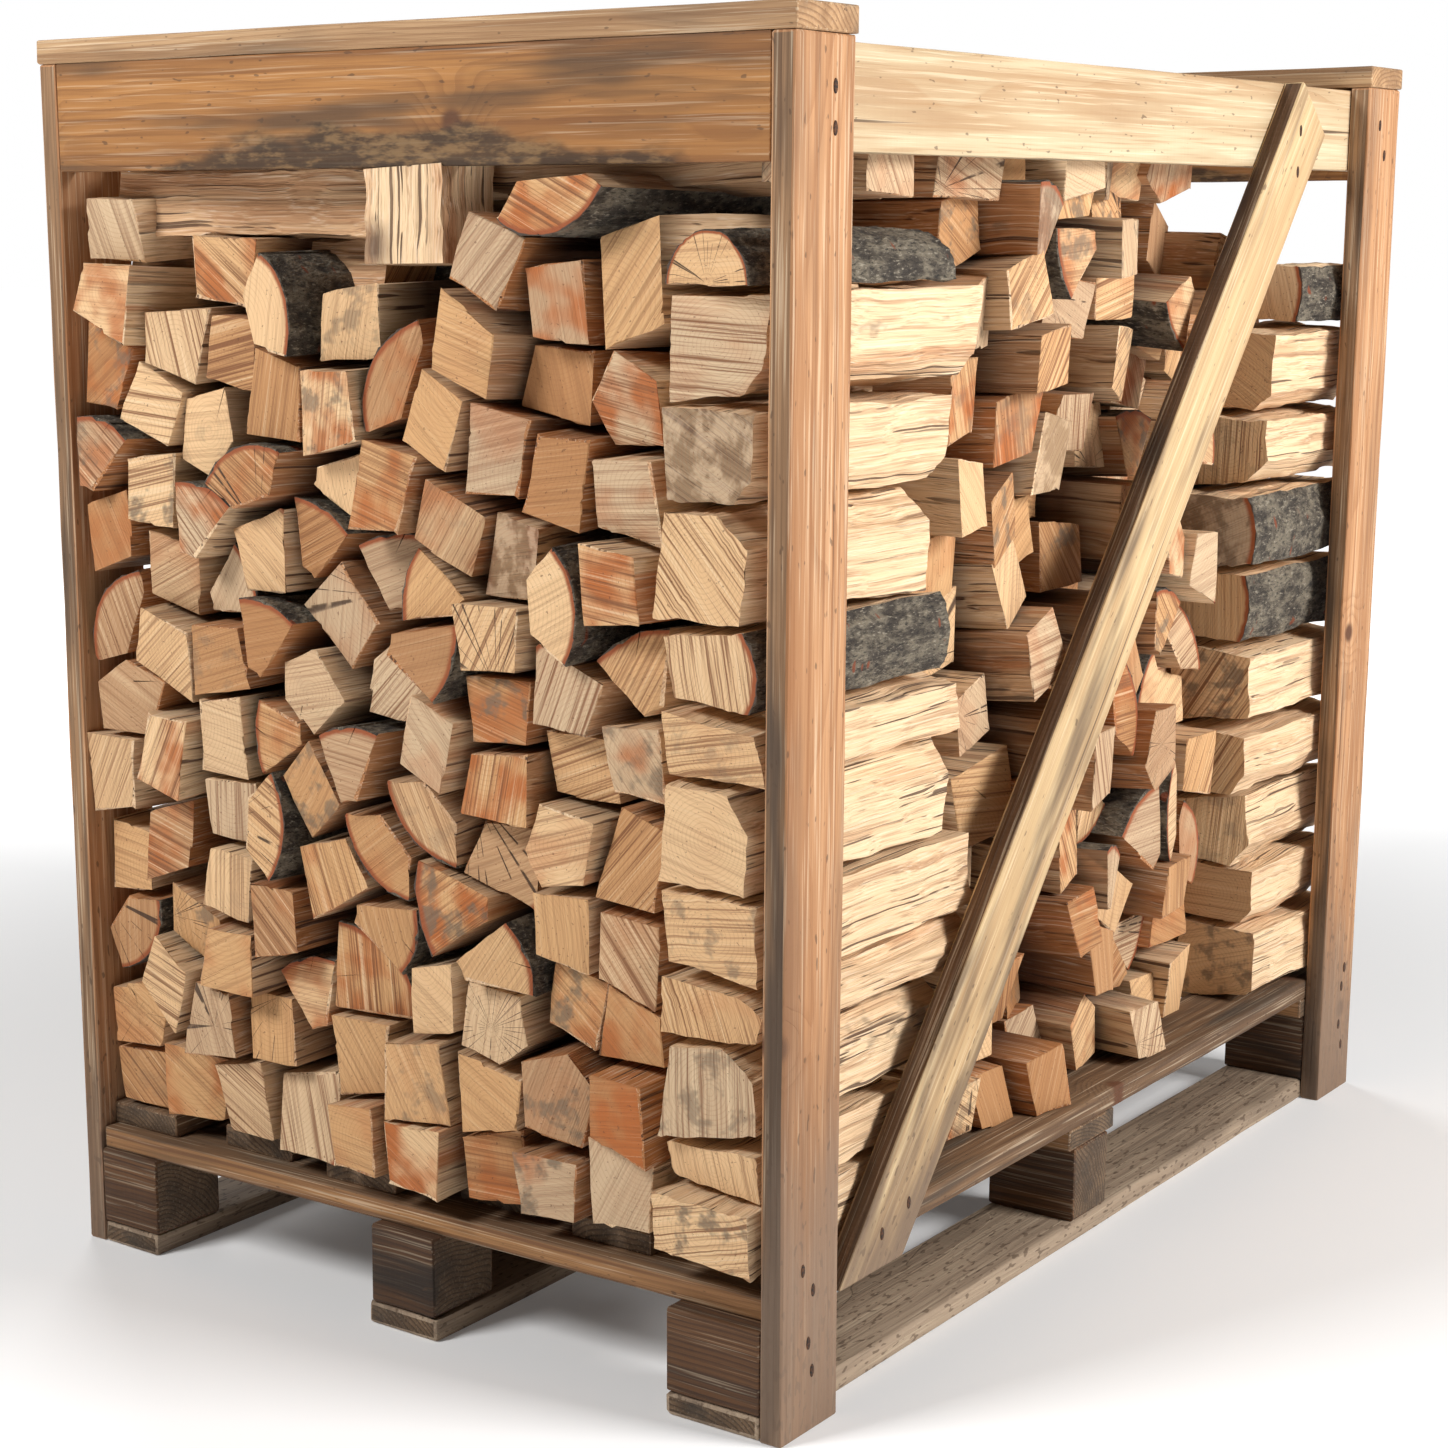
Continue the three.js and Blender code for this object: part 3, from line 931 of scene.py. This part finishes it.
# %% A sawn board finish
def board_finish(name, light, dark, dirt, dirty=0.3, ring=0.0055, lines=0.4, streaks=0.5, knots=True,
                 foot_dirt=0.0, wane=False, pore=0.5, grit=0.0):
    """A sawn board in three colours: the wood, its late rings and the dirt on it."""
    made = Finish(name)
    own = made.attribute("own")["Vector"]
    mark = made.attribute("board_number")["Fac"]
    shift = made.join(made.times(mark, 0.37), made.times(mark, 2.9), mark)
    apart = made.vector("ADD", own, shift)
    wobble = made.grain(apart, (9.0, 2.2), 2.0, 0.5)
    bend = made.join(made.times(wobble, 0.026), 0.0, made.times(wobble, 0.022))
    bent = made.vector("ADD", own, bend)
    if knots:
        cells = made.node("ShaderNodeTexVoronoi", {"voronoi_dimensions": "2D"}, Vector=apart, Scale=3.4)
        near = made.math("DIVIDE", cells.outputs["Distance"], 3.4)
        knot = made.fade(near, 0.015, 0.006)
        push = made.fade(near, 0.055, 0.004, 0.0, 0.018)
        bent = made.vector("ADD", bent, made.join(push, 0.0, push))
    x, _, z = made.parts(bent)
    depth = made.plus(z, made.plus(0.055, made.times(wobble, 0.02)))
    off_centre = made.plus(x, made.times(made.math("SINE", mark), 0.03))
    from_heart = made.vector("LENGTH", made.join(off_centre, 0.0, depth))
    rings = made.math("FRACT", made.math("DIVIDE", from_heart, ring))
    late = made.times(made.fade(rings, 0.40, 0.95), made.fade(rings, 1.0, 0.96))
    pores = made.grain(apart, (430.0, 6.0), 2.0, 0.6)
    threads = made.grain(apart, (130.0, 1.2), 2.0, 0.55)
    broad = made.grain(apart, (30.0, 1.3), 2.0, 0.6)
    saw = made.grain(apart, (6.0, 190.0), 1.0, 0.5)
    made.colour = made.mix(made.fade(broad, 0.34, 0.66), light, made.mix(0.6, light, dark))
    made.coat(made.times(late, lines), dark)
    made.coat_where(threads, 0.49, 0.34, dark, streaks)
    made.coat_where(pores, 0.54, 0.70, dark, pore)
    made.coat_where(pores, 0.46, 0.32, (244, 224, 192), pore * 0.6)
    made.coat_where(threads, 0.285, 0.25, (58, 36, 20), 0.8)
    if knots:
        made.coat(knot, (92, 54, 28))
    stains = made.grain(apart, (20.0, 2.4), 3.0, 0.65)
    flecks = made.grain(apart, (210.0, 70.0), 1.0)
    if foot_dirt:
        place = made.node("ShaderNodeTexCoord").outputs["Object"]
        above_floor = made.parts(place)[2]
        stains = made.plus(stains, made.fade(above_floor, 1.0, 0.02, -0.03, 0.11))
        flecks = made.plus(flecks, made.fade(above_floor, 0.45, 0.02, 0.0, 0.10))
    made.coat_where(stains, 0.48, 0.68, dirt, dirty)
    made.coat_where(flecks, 0.70 - grit, 0.76 - grit, (72, 50, 32), 0.6)
    if wane:
        from_middle = made.math("ABSOLUTE", made.minus(made.parts(own)[1], 0.01))
        width = made.fade(from_middle, 0.04, 0.42, 0.022, -0.017)
        ragged = made.grain(apart, (30.0, 9.0), 3.0, 0.65)
        ragged_edge = made.plus(0.073, made.times(ragged, -0.060))
        from_edge = made.plus(made.parts(own)[0], ragged_edge)
        bark = made.fade(made.minus(from_edge, width), 0.010, -0.006)
        rough_bark = made.grain(apart, (120.0, 34.0), 3.0, 0.7)
        bark_colour = made.mix(made.fade(rough_bark, 0.42, 0.66), (46, 34, 22), (118, 92, 60))
        made.coat(made.times(bark, 0.85), bark_colour)
        pores = made.plus(pores, made.times(bark, rough_bark))
    if foot_dirt:
        up = made.plus(above_floor, made.times(stains, -0.44))
        made.coat_where(up, 0.02, -0.20, (128, 106, 88), foot_dirt)
    height = made.plus(made.times(late, 0.2), made.times(pores, 0.6))
    height = made.plus(height, made.times(saw, 0.25))
    height = made.plus(height, made.times(threads, 0.7))
    return made.finish(0.78, height, 0.0014)


post_face = board_finish("post_face", (186, 138, 96), (146, 96, 56), (118, 88, 64), 0.5, streaks=0.75,
                         foot_dirt=0.8)
grey_edge = board_finish("grey_sawn_edge", (160, 122, 86), (98, 70, 46), (66, 52, 40), 0.85, lines=0.2,
                         streaks=0.8, knots=False, foot_dirt=0.5)
end_rail_face = board_finish("end_rail_face", (168, 116, 62), (114, 70, 34), (84, 60, 38), 0.85, 0.007,
                             0.3, 0.6, wane=True, pore=0.3)
cap_face = board_finish("cap_face", (186, 150, 110), (132, 94, 60), (100, 80, 62), 0.6, streaks=0.7)
pale_face = board_finish("pale_side_face", (199, 180, 146), (164, 126, 86), (162, 130, 96), 0.5, 0.012,
                         0.45, 0.35, knots=False)
brace_face = board_finish("brace_face", (204, 176, 132), (166, 128, 86), (112, 90, 66), 0.95, 0.010,
                          0.25, 0.5, knots=False, foot_dirt=0.6)
dark_edge = board_finish("dark_bark_edge", (104, 74, 48), (62, 42, 26), (40, 30, 22), 0.8, lines=0.1,
                         knots=False)
deck_face = board_finish("deck_board_face", (128, 96, 66), (82, 58, 38), (66, 56, 46), 0.8, streaks=0.7)
cross_face = board_finish("cross_board_face", (160, 116, 72), (104, 68, 40), (84, 70, 54), 0.6,
                          streaks=0.8)
block_face = board_finish("pallet_block_face", (104, 68, 36), (48, 29, 16), (40, 29, 20), 0.9, 0.005,
                          0.6, 0.6, pore=0.3)
skid_face = board_finish("skid_face", (170, 148, 124), (124, 103, 84), (104, 86, 70), 0.6, lines=0.2,
                         streaks=0.5, knots=False, pore=0.25, grit=0.09)
old_end = board_finish("old_end_grain", (112, 88, 64), (58, 42, 28), (56, 48, 40), 0.6, 0.0045, 0.8, 0.1,
                       False, pore=0.12)
new_end = board_finish("new_end_grain", (186, 146, 104), (120, 84, 52), (104, 84, 64), 0.5, 0.0045, 0.7,
                       0.1, False, pore=0.12)
print("timber finishes ready")

# %% [markdown]
# ## Sawing the boards
# A board starts as a cube of its size. Cuts across its length give it places to bend, a bevel breaks
# its long edges, and a small random move takes away the machine look. Its outer faces, edges and ends
# can each have a finish of their own, chosen by the way a face points.

# %% Boards
def sawn_board(name, low, high, along, number, finishes, wear=0.0016, rough=0.0005, cuts=9, bow=0.0015):
    """A board between two corners. finishes are for its faces, its long edges and its sawn ends."""
    size = high - low
    select_only()
    bpy.ops.mesh.primitive_cube_add(size=1, location=(low + high) / 2, scale=size)
    piece = new_piece()
    piece.name = name
    edit(piece)
    step = Matrix.Identity(3)[along]
    for share in range(1, cuts + 1):
        cut(low + step * (size[along] * share / (cuts + 1)), step)
    leave_edit()
    mesh = piece.data
    for finish in finishes:
        mesh.materials.append(finish)
    thin, wide = sorted((axis for axis in range(3) if axis != along), key=lambda axis: size[axis])
    for face in mesh.polygons:
        if abs(face.normal[along]) > 0.5:
            face.material_index = 2
        else:
            face.material_index = 0 if abs(face.normal[thin]) > 0.5 else 1
    bevel(piece, lambda edge: sharp_corner(mesh, edge, low, high), wear, 2, 0)
    co = places(mesh)
    middle = np.array((low + high) / 2)
    own = (co - middle)[:, [wide, along, thin]]
    chance = random.Random(number)
    store(mesh, "own", "FLOAT_VECTOR", own)
    store(mesh, "board_number", "FLOAT", np.full(len(co), chance.uniform(0, 9)))
    unsettle(piece, rough, number)
    co = places(mesh)
    ease = np.cos(own[:, 1] / max(size[along], 0.01) * math.pi)
    co[:, wide] += chance.uniform(-bow, bow) * ease
    put(mesh, co)
    return piece


def sharp_corner(mesh, edge, low, high):
    """True for the edges where two of the board's outer faces meet."""
    middle = (mesh.vertices[edge.vertices[0]].co + mesh.vertices[edge.vertices[1]].co) / 2
    on = sum(min(abs(middle[axis] - low[axis]), abs(middle[axis] - high[axis])) < 1e-4
             for axis in range(3))
    return on >= 2


def nail(place, outward, radius=0.0032):
    """A nail's rounded head, stretched long as the head of a slanting nail looks, that sits just proud of
    the wood.
    """
    select_only()
    turn = Vector(outward).to_track_quat("Z", "Y").to_euler()
    bpy.ops.mesh.primitive_cylinder_add(vertices=12, radius=radius, depth=0.0016, location=place,
                                        rotation=turn, scale=(0.9, 1.9, 1.0))
    head = new_piece()
    edit(head)
    bpy.ops.mesh.bevel(offset=0.0004, segments=1, affect="EDGES")
    leave_edit()
    head.data.materials.clear()
    head.data.materials.append(nail_steel)
    return head


def nail_finish():
    made = Finish("nail_steel")
    place = made.node("ShaderNodeTexCoord").outputs["Object"]
    rust = made.grain(place, 400.0, 3.0)
    made.colour = made.mix(made.fade(rust, 0.4, 0.6), (48, 40, 36), (96, 62, 42))
    made.feed(made.shader.inputs["Metallic"], 0.6)
    return made.finish(0.6)


nail_steel = nail_finish()
ALONG_X, ALONG_Y, ALONG_Z = 0, 1, 2


def board_for(node, along, number, finishes, slot, nails=(), short=0.0, swing=0.0, **shape):
    """Replaces one CAD board with a sawn one and drives its nails.

    short takes that much off the front end. swing turns the board a little on the pallet.
    """
    low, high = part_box(node)
    low = low + Matrix.Identity(3)[along] * short
    piece = sawn_board(node + "_board", low, high, along, number, finishes, **shape)
    if swing:
        hinge = Vector((low.x, high.y, 0))
        turn = Matrix.Rotation(swing / (high - low)[along], 4, "Z")
        piece.data.transform(Matrix.Translation(hinge) @ turn @ Matrix.Translation(-hinge))
    heads = [nail(place, outward) for place, outward in nails]
    if heads:
        piece = join_pieces([piece, *heads], node + "_board")
    return belongs(piece, slot, node)


# %% Pallet
GREY, BROWN = "pallet_grey_wood", "deck_brown_wood"
number = 100
for side in ("left", "middle", "right"):
    number += 1
    board_for(f"skid_{side}", ALONG_Y, number, [skid_face, skid_face, old_end], GREY,
              wear=0.004, rough=0.0012)
    for row in ("front", "middle", "back"):
        number += 1
        board_for(f"block_{row}_{side}", ALONG_X, number, [block_face, block_face, old_end], GREY,
                  wear=0.003, cuts=3)
for row, swing in (("front", 0.016), ("middle", 0.0), ("back", 0.0)):
    number += 1
    board_for(f"cross_board_{row}", ALONG_X, number, [deck_face, cross_face, old_end], BROWN,
              wear=0.002, swing=swing)
for board, short in enumerate((0.0, 0.014, 0.004, 0.034, 0.020, 0.040), 1):
    number += 1
    board_for(f"deck_board_{board}", ALONG_Y, number, [deck_face, deck_face, old_end], BROWN,
              wear=0.002, rough=0.001, short=short)
print("pallet boards made:", number - 100)

# %% Posts, rails and caps
def post_nails(node):
    """Nails through a post into the block below and the rails above."""
    low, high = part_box(node)
    outward = (-1, 0, 0) if low.x < 0 else (1, 0, 0)
    x = low.x if low.x < 0 else high.x
    chance = random.Random(len(node) + int(low.y * 10))
    heights = (0.055, 0.082, 0.128, 0.150, high.z - 0.040, high.z - 0.072)
    nails = []
    for height in heights:
        y = low.y + (high.y - low.y) * chance.uniform(0.25, 0.75)
        nails.append(((x, y, height), outward))
    return nails


for end in ("front", "back"):
    for side in ("left", "right"):
        number += 1
        node = f"post_{end}_{side}"
        board_for(node, ALONG_Z, number, [post_face, grey_edge, new_end], "post_wood",
                  post_nails(node), wear=0.0022, rough=0.0007, cuts=15)
    number += 1
    board_for(f"rail_{end}", ALONG_X, number, [end_rail_face, end_rail_face, new_end],
              "end_board_wood", cuts=15)
    number += 1
    board_for(f"cap_{end}", ALONG_X, number, [cap_face, cap_face, new_end], "end_board_wood",
              wear=0.002)
for side in ("left", "right"):
    number += 1
    board_for(f"rail_{side}", ALONG_Y, number, [pale_face, pale_face, new_end],
              "pale_side_wood", cuts=15)
print("posts, rails and caps made")

# %% [markdown]
# ## The slanting braces
# A brace is a board like the others, laid at a slant and cut level at the foot. It is sawn upright at
# its full length, its own coordinates are stored, and only then is it turned about the crate's X axis,
# so the grain follows the slant. The foot is cut last, by a level plane.

# %% Braces
BRACE_WIDTH = 0.082


def brace_slope(low, high):
    """The slant of a brace that has this width and fills this box."""
    head_y = high.y
    for _ in range(8):
        run = math.hypot(head_y - low.y, high.z - low.z)
        head_y = high.y - BRACE_WIDTH * (high.z - low.z) / run
    return math.atan2(head_y - low.y, high.z - low.z), run


def build_brace(side, number):
    low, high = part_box(f"brace_{side}")
    slant, run = brace_slope(low, high)
    spare = BRACE_WIDTH
    flat_low = Vector((low.x, 0, -spare))
    flat_high = Vector((high.x, BRACE_WIDTH, run))
    piece = sawn_board(f"brace_{side}_board", flat_low, flat_high, ALONG_Z, number,
                       [brace_face, dark_edge, new_end], wear=0.002, rough=0.0008, cuts=17, bow=0.003)
    turn = Matrix.Translation((0, low.y, low.z)) @ Matrix.Rotation(-slant, 4, "X")
    piece.data.transform(turn)
    edit(piece)
    cut((0, 0, low.z), (0, 0, -1), away=True)
    leave_edit()
    x = low.x if side == "left" else high.x
    outward = (-1, 0, 0) if side == "left" else (1, 0, 0)
    nails = []
    for along, across in ((0.97, 0.35), (0.945, 0.65), (0.05, 0.4), (0.08, 0.7)):
        point = turn @ Vector((x, BRACE_WIDTH * across, run * along))
        nails.append(nail(point, outward))
    piece = join_pieces([piece, *nails], f"brace_{side}_board")
    belongs(piece, "pale_side_wood", f"brace_{side}")
    return slant


slant = build_brace("right", 301)
build_brace("left", 302)
print("brace slant from upright:", round(math.degrees(slant), 1), "degrees")
for master in masters:
    bpy.data.objects.remove(master)

# %% [markdown]
# ## Floor and light
# The crate stands on a plain pale floor, which glows faintly near the crate and brighter further out, so
# it fades into the white background. A soft lamp on the right gives the long side its strong light, a
# weaker one at the front left lights the log ends, a wide one behind keeps the hidden sides from going
# black, and a pale sky fills the rest a little.

# %% Floor and lamps
def stage_floor():
    select_only()
    bpy.ops.mesh.primitive_circle_add(vertices=96, radius=40, fill_type="NGON", location=(0, 0, 0))
    floor = bpy.context.object
    floor.name = "floor"
    made = Finish("pale_floor")
    place = made.node("ShaderNodeTexCoord").outputs["Object"]
    away = made.vector("LENGTH", place)
    # The floor glows: faintly within a metre of the crate, almost fully white beyond three and a half
    # metres.
    made.feed(made.shader.inputs["Emission Color"], (1, 1, 1, 1))
    made.feed(made.shader.inputs["Emission Strength"], made.fade(away, 0.9, 3.6, 0.06, 0.95))
    made.colour = (0.86, 0.86, 0.86, 1)
    floor.data.materials.append(made.finish(0.9))


def soft_lamp(name, place, aim, size, watts):
    data = bpy.data.lights.new(name, "AREA")
    data.shape = "RECTANGLE"
    data.size, data.size_y = size
    data.energy = watts
    lamp = bpy.data.objects.new(name, data)
    lamp.location = place
    lamp.rotation_euler = (Vector(aim) - Vector(place)).to_track_quat("-Z", "Y").to_euler()
    bpy.context.scene.collection.objects.link(lamp)


def pale_sky(strength):
    """A white background to look at, which gives the crate only a little of its light."""
    world = bpy.data.worlds.new("pale_sky")
    world.use_nodes = True
    nodes, links = world.node_tree.nodes, world.node_tree.links
    background = nodes["Background"]
    background.inputs["Color"].default_value = (1, 1, 1, 1)
    seen = nodes.new("ShaderNodeLightPath")
    level = nodes.new("ShaderNodeMapRange")
    level.inputs["To Min"].default_value = strength
    level.inputs["To Max"].default_value = 1.0
    links.new(seen.outputs["Is Camera Ray"], level.inputs["Value"])
    links.new(level.outputs["Result"], background.inputs["Strength"])
    bpy.context.scene.world = world


stage_floor()
soft_lamp("side_lamp", (3.7, 0.5, 2.3), (0.4, 0, 0.5), (1.4, 1.4), 185)
soft_lamp("front_lamp", (-1.2, -3.3, 3.2), (0, -0.6, 0.45), (1.2, 1.2), 132)
soft_lamp("back_lamp", (-3.6, 2.6, 3.0), (0, 0.3, 0.5), (1.8, 1.8), 80)
pale_sky(0.07)
bpy.context.scene.view_settings.view_transform = "Standard"
print("floor and lamps ready")
